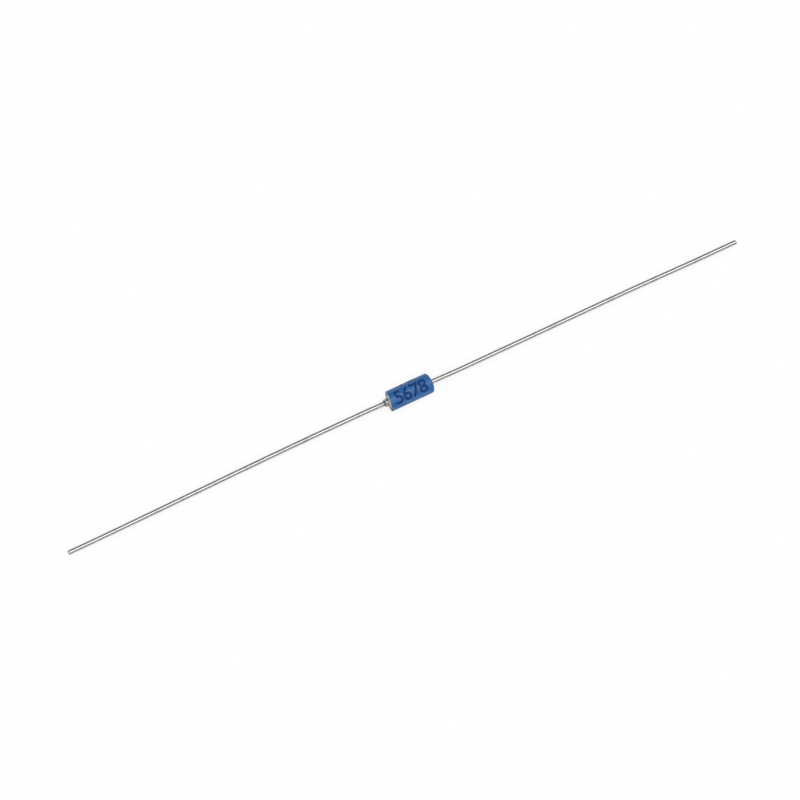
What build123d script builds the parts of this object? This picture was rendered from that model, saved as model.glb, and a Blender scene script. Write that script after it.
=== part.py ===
from build123d import *
import os

os.makedirs("parts", exist_ok=True)

# A glass axial diac: a blue coated glass body between two tinned wire leads.
# X runs along the leads and Z is up. The origin is the middle of the body.

# Driving dimensions, in millimetres
body_length = 4.5  # from the bare glass end on the left to the coated end on the right
body_diameter = 2.0  # over the coating
overall_length = 72.6  # lead tip to lead tip
coat_thickness = 0.05
stud_diameter = 0.8
stud_length = 2.25
lead_diameter = 0.46
die_side = 0.46
die_thickness = 0.25
bump_diameter = 0.32
bump_height = 0.05

# Edges and small shapes
die_bevel = 0.05  # the mesa round each face of the die
bump_round = 0.02
stud_round = 0.06
weld_diameter = 0.62  # flash round the butt weld of lead and stud
weld_length = 0.14
tip_round = 0.03  # where a lead is cut to length
rim_round = 0.08  # outer corner of the bare glass end
coat_setback = 0.01  # from the glass face to the coating's edge, which laps on to the rounded rim
shoulder_round = 0.15  # outer corner of the glass under the coating
glass_meniscus = 0.07  # glass drawn up along the stud at the bare end
coat_meniscus = 0.08  # coating drawn up along the lead at the coated end
coat_edge_round = 0.035

# Worked out from them
body_radius = body_diameter / 2
glass_radius = body_radius - coat_thickness
stud_radius = stud_diameter / 2
lead_radius = lead_diameter / 2
weld_radius = weld_diameter / 2
glass_left = -body_length / 2
coat_right = body_length / 2
glass_right = coat_right - coat_thickness
coat_left = glass_left + coat_setback
bump_outside = die_thickness / 2 + bump_height  # die's middle to stud's inner face
stud_outside = bump_outside + stud_length  # die's middle to stud's outer face
die_middle = glass_right - stud_outside  # the right stud ends flush with the glass


def outer_rims(part):
    """The circles of the largest radius on a turned part, from left to right."""
    circles = part.edges().filter_by(GeomType.CIRCLE)
    return circles.group_by(SortBy.RADIUS)[-1].sort_by(Axis.X)


# The three-layer silicon die, bevelled to a mesa on both faces
with BuildPart() as silicon_die:
    with BuildSketch(Plane.YZ.offset(die_middle - die_thickness / 2)):
        Rectangle(die_side, die_side)
    extrude(amount=die_thickness)
    chamfer(silicon_die.faces().filter_by(Axis.X).edges(), length=die_bevel)
silicon_die.part.label = "silicon_die"
export_step(silicon_die.part, "parts/silicon_die.step")

# The same three pieces stand on each side of the die, drawn outwards from its middle
studs = {}
leads = {}
for side, way in (("left", -1), ("right", 1)):
    outwards = Axis((die_middle, 0, 0), (way, 0, 0))
    face_on = Plane(outwards.position, z_dir=outwards.direction)
    lengthwise = Plane(outwards.position, x_dir=outwards.direction, z_dir=(0, 0, 1))
    lead_outside = overall_length / 2 - way * die_middle

    # Plated silver bump between die and stud
    with BuildPart() as silver_bump:
        with BuildSketch(face_on.offset(die_thickness / 2)):
            Circle(bump_diameter / 2)
        extrude(amount=bump_height)
        fillet(silver_bump.faces().sort_by(outwards)[-1].edges(), bump_round)
    silver_bump.part.label = f"{side}_silver_bump"
    export_step(silver_bump.part, f"parts/{side}_silver_bump.step")

    # Dumet stud, which the glass is fused to
    with BuildPart() as stud:
        with BuildSketch(face_on.offset(bump_outside)):
            Circle(stud_radius)
        extrude(amount=stud_length)
        fillet(stud.faces().filter_by(Axis.X).edges(), stud_round)
    stud.part.label = f"{side}_stud"
    export_step(stud.part, f"parts/{side}_stud.step")
    studs[side] = stud.part

    # Tinned lead, flared at the stud by the flash of its butt weld
    with BuildPart() as lead_wire:
        with BuildSketch(lengthwise):
            with BuildLine():
                weld_face = Line((stud_outside, weld_radius), (stud_outside, 0))
                wire = Polyline(
                    weld_face @ 1,
                    (lead_outside, 0),
                    (lead_outside, lead_radius),
                    (stud_outside + weld_length, lead_radius),
                )
                TangentArc(wire @ 1, weld_face @ 0, tangent=(-1, 0))
            make_face()
        revolve(axis=Axis.X)
        fillet(lead_wire.edges().sort_by(outwards)[-1], tip_round)
    lead_wire.part.label = f"{side}_lead_wire"
    export_step(lead_wire.part, f"parts/{side}_lead_wire.step")
    leads[side] = lead_wire.part

# Glass sleeve, fused to both studs, with a sealed gap round the die. At its bare left end
# the glass is drawn up along the stud.
with BuildPart() as glass_sleeve:
    with BuildSketch():
        with BuildLine():
            wall = Polyline(
                (glass_left - glass_meniscus, stud_radius),
                (glass_right, stud_radius),
                (glass_right, glass_radius),
                (glass_left, glass_radius),
                (glass_left, stud_radius + glass_meniscus),
            )
            TangentArc(wall @ 1, wall @ 0, tangent=(0, -1))
        make_face()
    revolve(axis=Axis.X)
    fillet(outer_rims(glass_sleeve)[0], rim_round)
    fillet(outer_rims(glass_sleeve)[-1], shoulder_round)
glass_sleeve.part.label = "glass_sleeve"
export_step(glass_sleeve.part, "parts/glass_sleeve.step")

# Blue coating over the glass, closed over the right end and drawn up along the lead there
with BuildPart() as lacquer_coat:
    with BuildSketch():
        with BuildLine():
            cap_left = glass_right - shoulder_round
            lap_radius = glass_radius - rim_round
            skin = Polyline(
                (coat_right + coat_meniscus, lead_radius),
                (coat_right + coat_meniscus, 0),
                (cap_left, 0),
                (cap_left, lap_radius),
                (coat_left, lap_radius),
                (coat_left, body_radius),
                (coat_right, body_radius),
                (coat_right, lead_radius + coat_meniscus),
            )
            TangentArc(skin @ 1, skin @ 0, tangent=(0, -1))
        make_face()
    revolve(axis=Axis.X)
    fillet(outer_rims(lacquer_coat)[0], coat_edge_round)
    fillet(outer_rims(lacquer_coat)[-1], shoulder_round + coat_thickness)
    for inner in (glass_sleeve.part, studs["right"], leads["right"]):
        add(inner, mode=Mode.SUBTRACT)
lacquer_coat.part.label = "lacquer_coat"
export_step(lacquer_coat.part, "parts/lacquer_coat.step")
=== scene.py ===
import math

import bpy
from mathutils import Matrix, Vector


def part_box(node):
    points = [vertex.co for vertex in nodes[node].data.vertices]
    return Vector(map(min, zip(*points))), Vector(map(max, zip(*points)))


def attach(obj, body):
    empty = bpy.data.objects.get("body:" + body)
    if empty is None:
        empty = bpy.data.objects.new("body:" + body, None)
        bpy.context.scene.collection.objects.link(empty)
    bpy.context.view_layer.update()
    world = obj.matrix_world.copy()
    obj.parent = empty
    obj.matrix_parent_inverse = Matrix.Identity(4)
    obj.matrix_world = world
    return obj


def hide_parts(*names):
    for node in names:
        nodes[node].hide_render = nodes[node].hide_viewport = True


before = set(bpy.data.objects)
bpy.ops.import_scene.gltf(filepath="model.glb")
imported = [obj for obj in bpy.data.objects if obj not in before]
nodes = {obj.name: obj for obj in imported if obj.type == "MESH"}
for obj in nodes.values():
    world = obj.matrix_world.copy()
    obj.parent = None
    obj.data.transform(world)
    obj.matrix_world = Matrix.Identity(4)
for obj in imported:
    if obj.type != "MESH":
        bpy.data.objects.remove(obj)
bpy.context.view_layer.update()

print("frame loaded:", len(nodes), "nodes")

mm = 0.001
roundness = 96  # sides of every turned piece
cornerSteps = 6  # faces round a small corner
weldTogether = 0.0001 * mm  # points nearer than this are one point
smoothUpTo = math.radians(50)  # edges sharper than this stay sharp
bond = 0.004 * mm  # how far fused pieces run into each other, so that no gap is left between them

coatLow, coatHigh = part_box("lacquer_coat")
glassLow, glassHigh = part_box("glass_sleeve")
bodyRadius = coatHigh.y
glassRadius = glassHigh.y
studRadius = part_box("left_stud")[1].y


def putDown():
    if bpy.context.object and bpy.context.object.mode == "EDIT":
        bpy.ops.object.mode_set(mode="OBJECT")
    bpy.ops.object.select_all(action="DESELECT")


def pickUp(piece):
    putDown()
    piece.select_set(True)
    bpy.context.view_layer.objects.active = piece


def arcRings(centreX, centreR, radius, startDegrees, endDegrees, steps=cornerSteps):
    # places (x, r) round a corner; 0 degrees points along +X and 90 away from the axis
    rings = []
    for step in range(steps + 1):
        turn = math.radians(startDegrees + (endDegrees - startDegrees) * step / steps)
        rings.append((centreX + radius * math.cos(turn), centreR + radius * math.sin(turn)))
    return rings


def longRun(startX, endX, ringRadius, spacing):
    # evenly spaced rings along a straight run, without its two ends
    count = max(2, round(abs(endX - startX) / spacing))
    return [(startX + (endX - startX) * step / count, ringRadius) for step in range(1, count)]


def eased(share):
    # 0 to 1 with a soft start and finish
    share = min(max(share, 0), 1)
    return share * share * (3 - 2 * share)


def swayAt(x, bends):
    # how far a wire has strayed sideways at x, after soft bends given as (from, to, how far)
    return sum(amount * eased((abs(x) - start) / (end - start)) for start, end, amount in bends)


def turned(name, rings, tube=False, bends=()):
    # one circle drawn out along X ring by ring; a tube's last ring joins its first
    putDown()
    x, ringRadius = rings[0]
    sway = swayAt(x, bends)
    bpy.ops.mesh.primitive_circle_add(
        vertices=roundness, radius=ringRadius, fill_type="NOTHING" if tube else "NGON",
        location=(x, sway, 0), rotation=(0, math.pi / 2, 0))
    piece = bpy.context.object
    piece.name = name
    piece.data.name = name
    bpy.ops.object.transform_apply(location=True, rotation=True, scale=True)
    bpy.ops.object.mode_set(mode="EDIT")
    bpy.ops.mesh.select_all(action="SELECT")
    for nextX, nextRadius in rings[1:] + (rings[:1] if tube else []):
        grow = nextRadius / ringRadius
        nextSway = swayAt(nextX, bends)
        bpy.ops.mesh.extrude_region_move(
            TRANSFORM_OT_translate={"value": (nextX - x, nextSway - sway, 0)})
        bpy.ops.transform.resize(value=(1, grow, grow), center_override=(nextX, nextSway, 0))
        x, ringRadius, sway = nextX, nextRadius, nextSway
    bpy.ops.mesh.select_all(action="SELECT")
    bpy.ops.mesh.remove_doubles(threshold=weldTogether)
    bpy.ops.mesh.normals_make_consistent(inside=False)
    bpy.ops.object.mode_set(mode="OBJECT")
    bpy.ops.object.shade_smooth_by_angle(angle=smoothUpTo)
    return piece


def ripple(piece, grain, depth, seed, direction="NORMAL", group="", level=1.0):
    # soft unevenness: a Displace modifier on a cloud texture, applied; a level of 1 only pushes inwards,
    # and the seed is how far along the cloud the piece is set
    clouds = bpy.data.textures.new(piece.name + "Clouds", "CLOUDS")
    clouds.noise_scale = grain
    clouds.noise_depth = 2
    pickUp(piece)
    moved = Matrix.Translation((seed, seed, seed))
    piece.data.transform(moved)
    modifier = piece.modifiers.new("ripple", "DISPLACE")
    modifier.texture = clouds
    modifier.texture_coords = "LOCAL"
    modifier.strength = depth
    modifier.mid_level = level
    modifier.direction = direction
    modifier.vertex_group = group
    bpy.ops.object.modifier_apply(modifier="ripple")
    piece.data.transform(moved.inverted())
    bpy.data.textures.remove(clouds)


endLean = {
    "aside": 0.13,  # how far off square the bare end is, side to side
    "upright": -0.08,  # and from its top to its bottom
    "shift": 0.03 * mm,
    "reach": 0.7 * mm,  # the length of barrel that it fades away over
}


def leanEnd(piece):
    # the sleeve and its coating share one bare end, cut a little askew
    for vertex in piece.data.vertices:
        share = eased((glassLow.x + endLean["reach"] - vertex.co.x) / endLean["reach"])
        slope = endLean["aside"] * vertex.co.y + endLean["upright"] * vertex.co.z + endLean["shift"]
        vertex.co.x += share * slope


def settle(piece, node, material):
    # hands a finished piece to the frame in place of its CAD node
    piece.data.materials.clear()
    piece.data.materials.append(material)
    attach(piece, "root")
    if node:
        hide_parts(node)
    print("made", piece.name, len(piece.data.polygons), "faces")


class Value:
    # a socket that can be used in sums; each sum adds a Math node

    def __init__(self, tree, socket):
        self.tree = tree
        self.socket = socket

    def sum(self, operation, first, second):
        node = self.tree.nodes.new("ShaderNodeMath")
        node.operation = operation
        for place, term in enumerate((first, second)):
            if isinstance(term, Value):
                self.tree.links.new(term.socket, node.inputs[place])
            else:
                node.inputs[place].default_value = term
        return Value(self.tree, node.outputs[0])

    def __add__(self, other):
        return self.sum("ADD", self, other)

    def __sub__(self, other):
        return self.sum("SUBTRACT", self, other)

    def __mul__(self, other):
        return self.sum("MULTIPLY", self, other)

    def __radd__(self, other):
        return self.sum("ADD", other, self)

    def __rsub__(self, other):
        return self.sum("SUBTRACT", other, self)

    def __rmul__(self, other):
        return self.sum("MULTIPLY", other, self)


class Nodes:
    # a node tree, and the one method that adds any node but a sum

    def __init__(self, tree):
        self.tree = tree

    def add(self, kind, settings=None, sockets=None, output=0):
        node = self.tree.nodes.new("ShaderNode" + kind)
        for key, value in (settings or {}).items():
            setattr(node, key, value)
        for key, value in (sockets or {}).items():
            if isinstance(value, Value):
                self.tree.links.new(value.socket, node.inputs[key])
            else:
                node.inputs[key].default_value = value
        return Value(self.tree, node.outputs[output])

    def place(self, stretch=(1, 1, 1)):
        # object coordinates in metres, stretched for patterns that run one way
        spot = self.add("TexCoord", output="Object")
        return self.add("Mapping", {}, {"Vector": spot, "Scale": stretch})

    def alongX(self, spot):
        return self.add("SeparateXYZ", {}, {"Vector": spot}, "X")

    def length(self, vector):
        return self.add("VectorMath", {"operation": "LENGTH"}, {0: vector}, "Value")

    def acrossX(self, spot):
        # the same place or direction with its X taken out
        return self.add("VectorMath", {"operation": "MULTIPLY"}, {0: spot, 1: (0, 1, 1)})

    def noise(self, spot, size, detail=2.0, roughness=0.5):
        # size is that of the pattern's features, in metres
        return self.add("TexNoise", {}, {
            "Vector": spot, "Scale": 1 / size, "Detail": detail, "Roughness": roughness})

    def between(self, value, low, high, toLow=0.0, toHigh=1.0):
        return self.add("MapRange", {"interpolation_type": "SMOOTHSTEP"}, {
            "Value": value, "From Min": low, "From Max": high, "To Min": toLow, "To Max": toHigh})

    def blend(self, amount, first, second):
        # the colour sockets of a Mix node are its seventh and eighth
        ends = {0: amount}
        for socket, colour in ((6, first), (7, second)):
            ends[socket] = (*colour, 1) if isinstance(colour, tuple) else colour
        return self.add("Mix", {"data_type": "RGBA"}, ends, 2)

    def relief(self, height, depth):
        return self.add("Bump", {}, {"Height": height, "Distance": depth, "Strength": 1.0})


class Finish(Nodes):
    # a material with one Principled shader

    def __init__(self, name, **settings):
        self.material = bpy.data.materials.new(name)
        self.material.use_nodes = True
        super().__init__(self.material.node_tree)
        self.shader = self.tree.nodes["Principled BSDF"]
        for key, value in settings.items():
            self.shader.inputs[key.replace("_", " ")].default_value = value

    def use(self, **links):
        for key, value in links.items():
            self.tree.links.new(value.socket, self.shader.inputs[key.replace("_", " ")])


lacquerLook = {
    "deepBlue": (0.022, 0.112, 0.325),
    "paleBlue": (0.038, 0.146, 0.400),
    "mottle": 0.5 * mm,
    "mottleEdge": (0.35, 0.65),  # where in the noise deep blue turns to pale
    "peel": 0.22 * mm,
    "peelDepth": 0.004 * mm,
    "grit": 0.15,  # the fine grain's share of the relief
    "rough": 0.19,
    "rougher": (0.10, 0.06),  # added by the mottle and by the fine grain
}


def lacquerFinish():
    look = lacquerLook
    finish = Finish("blueLacquer", IOR=1.46)
    spot = finish.place()
    mottle = finish.noise(spot, look["mottle"], detail=4)
    fine = finish.noise(spot, look["peel"] / 4, detail=3)
    peel = finish.noise(spot, look["peel"])
    byMottle, byFine = look["rougher"]
    finish.use(
        Base_Color=finish.blend(
            finish.between(mottle, *look["mottleEdge"]), look["deepBlue"], look["paleBlue"]),
        Roughness=look["rough"] + byMottle * mottle + byFine * fine,
        Normal=finish.relief(peel + look["grit"] * fine, look["peelDepth"]),
    )
    return finish.material


inkLook = {
    "colour": (0.004, 0.030, 0.120),
    "thinColour": (0.010, 0.058, 0.200),
    "wear": 0.18 * mm,
    "wearDepth": 0.002 * mm,
    "thinFrom": (0.42, 0.66),  # where in the wear the ink gets thin
    "pinholes": (0.68, 0.82),  # and where the coating shows through it
    "pinholeCover": 0.45,
    "rough": 0.45,
    "wornRough": 0.2,
}


def inkFinish():
    look = inkLook
    finish = Finish("navyInk", Specular_IOR_Level=0.2)
    wear = finish.noise(finish.place(), look["wear"], detail=4, roughness=0.6)
    finish.use(
        Base_Color=finish.blend(
            finish.between(wear, *look["thinFrom"]), look["colour"], look["thinColour"]),
        Roughness=look["rough"] + look["wornRough"] * wear,
        Alpha=finish.between(wear, *look["pinholes"], 1.0, look["pinholeCover"]),
        Normal=finish.relief(wear, look["wearDepth"]),
    )
    return finish.material


glassLook = {
    "milky": (0.84, 0.84, 0.90),
    "clear": (0.93, 0.93, 0.97),
    "rim": (0.06, 0.08, 0.12),  # painted shade: the coating's shaded inside as seen through the glass near its rim, painted dark into the glass's colour
    "paintedShadeFrom": 0.66 * mm,
    "paintedShadeTo": 0.80 * mm,
    "unevenPaintedShade": 0.10 * mm,
    "ream": 0.5 * mm,
    "reamDepth": 0.003 * mm,
    "rough": 0.03,
    "reamRough": 0.05,
}


def glassFinish():
    # lead glass, slightly milky where it was melted on, with a ring of painted shade near its rim
    look = glassLook
    finish = Finish("sealingGlass", IOR=1.56, Transmission_Weight=0.5)
    spot = finish.place()
    ream = finish.noise(spot, look["ream"], detail=1)
    fromAxis = finish.length(finish.acrossX(spot))
    # painted shade: darkens the glass's colour in a ring near its rim, standing in for the shaded
    # coating seen through it
    rim = finish.between(fromAxis + look["unevenPaintedShade"] * ream, look["paintedShadeFrom"], look["paintedShadeTo"])
    glass = finish.blend(ream, look["milky"], look["clear"])
    finish.use(
        Base_Color=finish.blend(rim, glass, look["rim"]),
        Roughness=look["rough"] + look["reamRough"] * ream,
        Normal=finish.relief(ream, look["reamDepth"]),
    )
    return finish.material


wireLook = {
    "bright": (0.82, 0.81, 0.79),
    "dull": (0.50, 0.49, 0.48),
    "burnt": (0.20, 0.20, 0.20),  # by the flash of the weld
    # painted shade: dims the tin's reflection towards grazing, so that the wire's edges render dark
    "paintedEdgeShade": (0.25, 0.25, 0.25, 1),
    "drawLength": 3.0 * mm,
    "drawWidth": 0.03 * mm,
    "dent": 0.35 * mm,
    "dentDepth": 0.002 * mm,
    "nickEdge": (0.60, 0.68),
    "tarnish": 1.2 * mm,
    "tarnishEdge": (0.5, 0.72),
    "burntFrom": 0.10 * mm,
    "burntTo": 0.34 * mm,
    "dulling": (0.7, 0.5),  # by full tarnish and by a nick
    "relief": (0.12, 0.5),  # of the draw lines and of a nick, beside that of a dent
    "rough": 0.10,
    "rougher": (0.08, 0.10, 0.15, 0.2),  # added by draw lines, tarnish, nicks and the weld
}


def wireFinish():
    look = wireLook
    # its edge tint is painted shade that darkens the wire's edges
    finish = Finish("tinnedWire", Metallic=1.0, Specular_Tint=look["paintedEdgeShade"])
    spot = finish.place()
    along = finish.place((look["drawWidth"] / look["drawLength"], 1, 1))
    draw = finish.noise(along, look["drawWidth"], detail=3)
    dent = finish.noise(spot, look["dent"], detail=2)
    nick = finish.between(finish.noise(spot, look["dent"] / 2, detail=2), *look["nickEdge"])
    tarnish = finish.noise(spot, look["tarnish"], detail=5, roughness=0.65)
    tarnish = finish.between(tarnish, *look["tarnishEdge"])
    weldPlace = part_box("left_stud")[0].x
    fromWeld = finish.add("Math", {"operation": "ABSOLUTE"}, {0: finish.alongX(spot) - weldPlace})
    burnt = finish.between(fromWeld + look["burntFrom"] * dent, look["burntFrom"], look["burntTo"], 1, 0)
    byTarnish, byNick = look["dulling"]
    tin = finish.blend(byTarnish * tarnish + byNick * nick, look["bright"], look["dull"])
    drawRelief, nickRelief = look["relief"]
    rough = look["rough"]
    for share, pattern in zip(look["rougher"], (draw, tarnish, nick, burnt)):
        rough = rough + share * pattern
    finish.use(
        Base_Color=finish.blend(burnt, tin, look["burnt"]),
        Roughness=rough,
        Normal=finish.relief(dent + drawRelief * draw - nickRelief * nick, look["dentDepth"]),
    )
    return finish.material


studLook = {
    "plated": (0.62, 0.67, 0.63),
    "oxide": (0.06, 0.07, 0.09),
    "grain": 0.12 * mm,
    "grainDepth": 0.010 * mm,
    "sealedOver": 0.12 * mm,  # the length over which the plating gives way to oxide
    "sealedUneven": 0.2 * mm,
    "rough": 0.30,
    "grainRough": 0.20,
}


def studFinish():
    # bright where it stands out of the glass, oxidised where the glass is fused to it
    look = studLook
    finish = Finish("dumetStud", Metallic=1.0)
    spot = finish.place()
    grain = finish.noise(spot, look["grain"], detail=5, roughness=0.6)
    inward = finish.alongX(spot) + look["sealedUneven"] * grain
    sealed = finish.between(inward, glassLow.x, glassLow.x + look["sealedOver"])
    finish.use(
        Base_Color=finish.blend(sealed, look["plated"], look["oxide"]),
        Roughness=look["rough"] + look["grainRough"] * grain,
        Normal=finish.relief(grain, look["grainDepth"]),
    )
    return finish.material


silverLook = {
    "name": "platedSilver",
    "metallic": 1.0,
    "dark": (0.78, 0.77, 0.74),
    "light": (0.92, 0.91, 0.88),
    "grain": 0.02 * mm,
    "detail": 4,
    "grainDepth": 0.002 * mm,
    "rough": 0.35,
    "grainRough": 0.2,
}
siliconLook = {
    "name": "darkSilicon",
    "metallic": 0.6,
    "dark": (0.10, 0.10, 0.12),
    "light": (0.17, 0.17, 0.20),
    "grain": 0.05 * mm,
    "detail": 3,
    "grainDepth": 0.001 * mm,
    "rough": 0.12,
    "grainRough": 0.25,
}


def grainyFinish(look):
    # the pieces sealed in the glass: bumps and die
    finish = Finish(look["name"], Metallic=look["metallic"])
    grain = finish.noise(finish.place(), look["grain"], detail=look["detail"])
    finish.use(
        Base_Color=finish.blend(grain, look["dark"], look["light"]),
        Roughness=look["rough"] + look["grainRough"] * grain,
        Normal=finish.relief(grain, look["grainDepth"]),
    )
    return finish.material


sleeveShape = {
    "rimRound": 0.08 * mm,
    "shoulderRound": 0.15 * mm,
    "meniscus": 0.07 * mm,  # glass drawn up along the stud
    "ringEvery": 0.10 * mm,
    "steps": 8,  # faces round the rim and round the shoulder
}


def makeGlassSleeve(material):
    shape = sleeveShape
    right = glassHigh.x
    left = glassLow.x + shape["meniscus"]
    bore = studRadius - bond
    rim, shoulder, rise = shape["rimRound"], shape["shoulderRound"], shape["meniscus"]
    gapStart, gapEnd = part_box("left_stud")[1].x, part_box("right_stud")[0].x
    rings = [(right, bore)]
    rings += arcRings(right - shoulder, glassRadius - shoulder, shoulder, 0, 90, shape["steps"])
    rings += longRun(right - shoulder, left + rim, glassRadius, shape["ringEvery"])
    rings += arcRings(left + rim, glassRadius - rim, rim, 90, 180, shape["steps"])
    rings += arcRings(left - rise, bore + rise + bond, rise, 0, -90)
    rings += longRun(left - rise, gapStart, bore, shape["ringEvery"])
    rings += [(gapStart, bore), (gapEnd, bore)]
    piece = turned("glassSleeve", rings, tube=True)
    leanEnd(piece)
    settle(piece, "glass_sleeve", material)


coatShape = {
    "edgeRound": 0.035 * mm,
    "shoulder": 0.20 * mm,
    "meniscus": 0.08 * mm,  # drawn up along the wire
    "wireGrip": 0.006 * mm,  # how far it closes on to the wire
    "runs": (0.9 * mm, 0.012 * mm, 0.01),  # size, depth and seed of the unevenness all over
    "unevenEdge": (0.7 * mm, 0.04 * mm, 0.013),  # and of that along its left edge
    "unevenReach": 0.5 * mm,
    "ringEvery": 0.10 * mm,
    "edgeSteps": 5,
    "shoulderSteps": 10,
}


def makeLacquerCoat(material):
    shape = coatShape
    edge, shoulder, rise = shape["edgeRound"], shape["shoulder"], shape["meniscus"]
    rim, innerShoulder = sleeveShape["rimRound"], sleeveShape["shoulderRound"]
    left, skin = coatLow.x, glassRadius - bond
    glassFace = glassLow.x + sleeveShape["meniscus"]
    right, inside = -glassFace, glassHigh.x - bond
    hole = leadShape["radius"] - shape["wireGrip"]
    lap = math.degrees(math.acos((left - glassFace - rim) / (rim - bond)))
    rings = arcRings(glassFace + rim, glassRadius - rim, rim - bond, 90, lap)
    rings += arcRings(left + edge, bodyRadius - edge, edge, 180, 90, shape["edgeSteps"])
    rings += longRun(left + edge, right - shoulder, bodyRadius, shape["ringEvery"])
    rings += arcRings(right - shoulder, bodyRadius - shoulder, shoulder, 90, 0, shape["shoulderSteps"])
    rings += arcRings(right + rise, hole + rise, rise, 180, 270)
    rings += [(inside, hole)]
    rings += arcRings(inside - innerShoulder, skin - innerShoulder, innerShoulder, 0, 90)
    rings += longRun(inside - innerShoulder, glassFace + rim, skin, shape["ringEvery"])
    piece = turned("lacquerCoat", rings, tube=True)
    ripple(piece, *shape["runs"])
    lip = piece.vertex_groups.new(name="lip")
    for vertex in piece.data.vertices:
        nearness = 1 - (vertex.co.x - left) / shape["unevenReach"]
        if nearness > 0:
            lip.add([vertex.index], nearness, "REPLACE")
    ripple(piece, *shape["unevenEdge"], direction="X", group="lip", level=0.5)
    piece.vertex_groups.clear()
    leanEnd(piece)
    settle(piece, "lacquer_coat", material)
    return piece


studShape = {"round": 0.06 * mm, "roundSteps": 5, "ringEvery": 0.10 * mm}


def makeStud(side, material):
    low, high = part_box(side + "_stud")
    corner, steps = studShape["round"], studShape["roundSteps"]
    face = studRadius - corner
    rings = arcRings(low.x + corner, face, corner, 180, 90, steps)
    rings += longRun(low.x + corner, high.x - corner, studRadius, studShape["ringEvery"])
    rings += arcRings(high.x - corner, face, corner, 90, 0, steps)
    piece = turned(side + "Stud", rings)
    settle(piece, side + "_stud", material)


leadShape = {
    "radius": 0.23 * mm,
    "weldLength": 0.14 * mm,
    "weldRadius": 0.31 * mm,
    "tipRound": 0.03 * mm,
    "tipSteps": 4,
    "ringEvery": 0.15 * mm,
    "dents": (0.45 * mm, 0.002 * mm),  # size and depth
    "seeds": {"left": 0.02, "right": 0.03},
    "bends": {  # from and to, measured from the body's middle, and how far sideways
        "left": ((2.8 * mm, 5 * mm, 0.030 * mm), (9 * mm, 37 * mm, -0.265 * mm)),
        "right": ((1.8 * mm, 5.8 * mm, -0.056 * mm), (12 * mm, 21 * mm, 0.022 * mm),
                  (23 * mm, 33 * mm, -0.078 * mm)),
    },
}


def makeLead(side, way, material):
    # way is the side's direction along X
    shape = leadShape
    low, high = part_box(side + "_lead_wire")
    root, tip = (high.x, low.x) if way < 0 else (low.x, high.x)
    wire, flare, corner = shape["radius"], shape["weldLength"], shape["tipRound"]
    weld, tipSteps = shape["weldRadius"], shape["tipSteps"]
    rings = [(root - way * bond, weld)]
    for step in range(cornerSteps + 1):
        turn = math.pi / 2 * step / cornerSteps
        rings.append((root + way * flare * (1 - math.cos(turn)), weld - (weld - wire) * math.sin(turn)))
    rings += longRun(root + way * flare, tip - way * corner, wire, shape["ringEvery"])
    for step in range(tipSteps + 1):
        turn = math.pi / 2 * step / tipSteps
        rings.append((tip - way * corner * (1 - math.sin(turn)), wire - corner * (1 - math.cos(turn))))
    piece = turned(side + "LeadWire", rings, bends=shape["bends"][side])
    ripple(piece, *shape["dents"], shape["seeds"][side])
    settle(piece, side + "_lead_wire", material)


markShape = {
    # digits, degrees round the barrel, width, and how far apart the digits stand
    "rows": (("5678", 0.0, 3.45 * mm, 0.92), ("90", 101.0, 1.60 * mm, 1.08)),
    "height": 1.43 * mm,
    "middle": -0.10 * mm,
    "bolder": 0.014,  # added round each stroke, as a share of the type size
    "curveSteps": 6,
    "thickness": 0.008 * mm,
    "cutEvery": 0.06 * mm,  # cut this fine both ways, so that it can follow the barrel
    "cutReach": 0.000004 * mm,  # a point nearer than this to a cut counts as on it
}


def makeMarking(facing, coat, material):
    # type made a mesh, cut fine, bent round the barrel, laid on the coating and given a thickness
    shape = markShape
    rows = []
    for digits, turn, width, spacing in shape["rows"]:
        putDown()
        bpy.ops.object.text_add()
        row = bpy.context.object
        row.data.body = digits
        row.data.resolution_u = shape["curveSteps"]
        row.data.offset = shape["bolder"]
        row.data.space_character = spacing
        bpy.ops.object.convert(target="MESH")
        row = bpy.context.object
        corners = [Vector(corner) for corner in row.bound_box]
        low, high = corners[0], corners[6]
        row.data.transform(Matrix.Translation(-(low + high) / 2))
        row.data.transform(Matrix.Diagonal((
            width / (high.x - low.x), shape["height"] / (high.y - low.y), 1, 1)))
        row.data.transform(Matrix.Rotation(math.pi / 2, 4, "X"))
        pickUp(row)
        bpy.ops.object.mode_set(mode="EDIT")
        for length, axis in ((shape["height"], Vector((0, 0, 1))), (width, Vector((1, 0, 0)))):
            count = round(length / shape["cutEvery"])
            for cut in range(1, count):
                bpy.ops.mesh.select_all(action="SELECT")
                level = axis * length * (cut / count - 0.5)
                bpy.ops.mesh.bisect(plane_co=level, plane_no=axis, threshold=shape["cutReach"])
        bpy.ops.object.mode_set(mode="OBJECT")
        bend = row.modifiers.new("bend", "SIMPLE_DEFORM")
        bend.deform_method = "BEND"
        bend.deform_axis = "X"
        bend.angle = shape["height"] / bodyRadius
        bpy.ops.object.modifier_apply(modifier="bend")
        row.data.transform(Matrix.Translation((shape["middle"], -bodyRadius, 0)))
        row.data.transform(Matrix.Rotation(-facing - math.radians(turn), 4, "X"))
        lay = row.modifiers.new("lay", "SHRINKWRAP")
        lay.target = coat
        lay.wrap_method = "NEAREST_SURFACEPOINT"
        lay.wrap_mode = "ABOVE_SURFACE"
        lay.offset = shape["thickness"] / 2
        bpy.ops.object.modifier_apply(modifier="lay")
        build = row.modifiers.new("build", "SOLIDIFY")
        build.thickness = shape["thickness"]
        bpy.ops.object.modifier_apply(modifier="build")
        rows.append(row)
    putDown()
    for row in rows:
        row.select_set(True)
    bpy.context.view_layer.objects.active = rows[0]
    bpy.ops.object.join()
    piece = bpy.context.object
    piece.name = "inkMarking"
    piece.data.name = "inkMarking"
    settle(piece, None, material)


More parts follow.
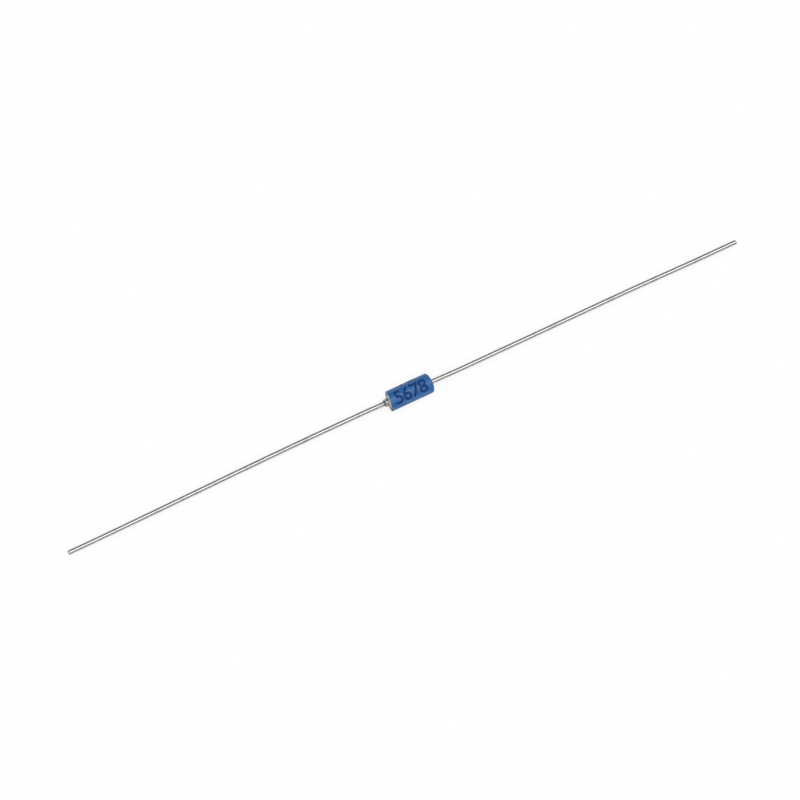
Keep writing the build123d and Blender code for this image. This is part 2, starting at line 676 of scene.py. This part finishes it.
shot = {
    "distance": 445 * mm,
    "elevation": 70.0,  # degrees above the floor
    "tilt": 17.0,  # degrees that the left lead leans towards the camera
    "slope": 24.89,  # degrees that the leads climb across the picture
    "scale": 10.6 / mm,  # steps to a metre at the body, where the view is 800 steps across
    "across": 800,
    "offset": (9.24, 7.9),  # the body's place right of and above the view's middle, in steps
    "sensor": 36,
    "nearest": 0.01,
    "farthest": 10,
}


def makeCamera():
    # back points from the body to the camera; along is where the leads run in the view, and across
    # is square to both
    tilt, elevation = math.radians(shot["tilt"]), math.radians(shot["elevation"])
    back = Vector((-math.sin(tilt), 0, math.sin(elevation)))
    back.y = -math.sqrt(1 - back.length_squared)
    along = (Vector((1, 0, 0)) + math.sin(tilt) * back).normalized()
    across = back.cross(along)
    slope = math.radians(shot["slope"])
    right = math.cos(slope) * along - math.sin(slope) * across
    up = math.sin(slope) * along + math.cos(slope) * across
    aside, above = (steps / shot["scale"] for steps in shot["offset"])
    bpy.ops.object.camera_add(location=back * shot["distance"] - right * aside - up * above)
    camera = bpy.context.object
    camera.rotation_euler = Matrix((right, up, back)).transposed().to_euler()
    camera.data.sensor_width = shot["sensor"]
    camera.data.lens = shot["sensor"] / (shot["across"] / shot["scale"]) * shot["distance"]
    camera.data.clip_start, camera.data.clip_end = shot["nearest"], shot["farthest"]
    bpy.context.scene.camera = camera
    return math.atan2(back.z, -back.y)  # how far round the barrel the camera is, from the front


studio = {
    "floorSize": 8.0,
    "floorWhite": 0.97,  # the floor's colour as it is seen
    "floorShade": 0.72,  # and as the object is lit by it
    "whiteness": 0.86,  # how far the floor is plain white to the camera; the rest keeps the shadow
    "nearby": (0.02, 0.25),  # metres over which metal and glass begin to see the floor as plain white
    "softboxSize": (0.90, 0.25),
    "softboxPlace": (0.18, 0.10, 0.60),
    "softboxPower": 0.5,  # it faces straight down
    "fillSize": 1.2,
    "fillPower": 1.3,  # a lamp that lights but isn't mirrored
    "sky": 0.10,  # the room's dim walls
    "ceiling": 1.1,
    "ceilingMiddle": 78.0,  # degrees up from the front
    "ceilingEdge": (31.0, 23.0),  # degrees from its middle where it starts and is whole
    "horizon": 1.0,
    "horizonEdge": (0.04, 0.09),  # the height up to which it is whole, and where it ends
    "sideWall": 1.2,  # on the bare glass end's side; it lights but isn't mirrored
    "sideEdge": (-0.35, -0.60),  # where along X it starts and is whole
}


def makeFloor():
    putDown()
    bpy.ops.mesh.primitive_plane_add(size=studio["floorSize"], location=(0, 0, -bodyRadius))
    floor = bpy.context.object
    floor.name = "studioFloor"
    bpy.ops.object.transform_apply(location=True)
    finish = Finish("whiteFloor", Roughness=1.0, Specular_IOR_Level=0)
    camera = finish.add("LightPath", output="Is Camera Ray")
    mirrored = finish.add("LightPath", output="Is Glossy Ray") + finish.add(
        "LightPath", output="Is Transmission Ray")
    away = finish.length(finish.place())
    white = studio["whiteness"] * camera + finish.between(away, *studio["nearby"]) * mirrored
    shade, pale = (studio["floorShade"],) * 3, (studio["floorWhite"],) * 3
    finish.use(Base_Color=finish.blend(camera, shade, pale))
    glow = finish.add("Emission", {}, {"Strength": 1.0})
    surface = finish.add("MixShader", {}, {
        0: white, 1: Value(finish.tree, finish.shader.outputs[0]), 2: glow})
    finish.tree.links.new(surface.socket, finish.tree.nodes["Material Output"].inputs["Surface"])
    floor.data.materials.append(finish.material)


def makeLights():
    bpy.ops.object.light_add(type="AREA", location=studio["softboxPlace"])
    softbox = bpy.context.object
    softbox.name = "softbox"
    softbox.data.shape = "RECTANGLE"
    softbox.data.size, softbox.data.size_y = studio["softboxSize"]
    softbox.data.energy = studio["softboxPower"]

    bpy.ops.object.light_add(type="AREA", location=(0, 0, studio["softboxPlace"][2]))
    fill = bpy.context.object
    fill.name = "fill"
    fill.data.size = studio["fillSize"]
    fill.data.energy = studio["fillPower"]
    fill.visible_glossy = False

    # the room: a lit ceiling strip, dim walls, a white backdrop low down and a lit wall on one side
    world = bpy.data.worlds.new("studio")
    bpy.context.scene.world = world
    world.use_nodes = True
    room = Nodes(world.node_tree)
    direction = room.add("TexCoord", output="Generated")
    upright = room.add("VectorMath", {"operation": "NORMALIZE"}, {0: room.acrossX(direction)})
    middle = math.radians(studio["ceilingMiddle"])
    closeness = room.add("VectorMath", {"operation": "DOT_PRODUCT"}, {
        0: upright, 1: (0, -math.cos(middle), math.sin(middle))}, "Value")
    start, whole = (math.cos(math.radians(edge)) for edge in studio["ceilingEdge"])
    height = room.add("SeparateXYZ", {}, {"Vector": direction}, "Z")
    lit = room.between(closeness, start, whole, studio["sky"], studio["ceiling"])
    low = room.between(height, *studio["horizonEdge"], studio["horizon"], 0)
    side = room.between(room.alongX(direction), *studio["sideEdge"], 0, studio["sideWall"])
    camera = room.add("LightPath", output="Is Camera Ray")
    mirrored = room.add("LightPath", output="Is Glossy Ray")
    strength = camera + (1 - camera) * (lit + low + (1 - mirrored) * side)
    background = world.node_tree.nodes["Background"]
    background.inputs["Color"].default_value = (1, 1, 1, 1)
    world.node_tree.links.new(strength.socket, background.inputs["Strength"])
    print("studio set")


facing = makeCamera()
makeFloor()
makeLights()
makeGlassSleeve(glassFinish())
coat = makeLacquerCoat(lacquerFinish())
metal = studFinish()
makeStud("left", metal)
makeStud("right", metal)
wire = wireFinish()
makeLead("left", -1, wire)
makeLead("right", 1, wire)
makeMarking(facing, coat, inkFinish())
silver = grainyFinish(silverLook)
for side in ("left", "right"):
    nodes[side + "_silver_bump"].material_slots[0].material = silver
nodes["silicon_die"].material_slots[0].material = grainyFinish(siliconLook)

bpy.context.scene.view_settings.view_transform = "Standard"

print("pieces done")
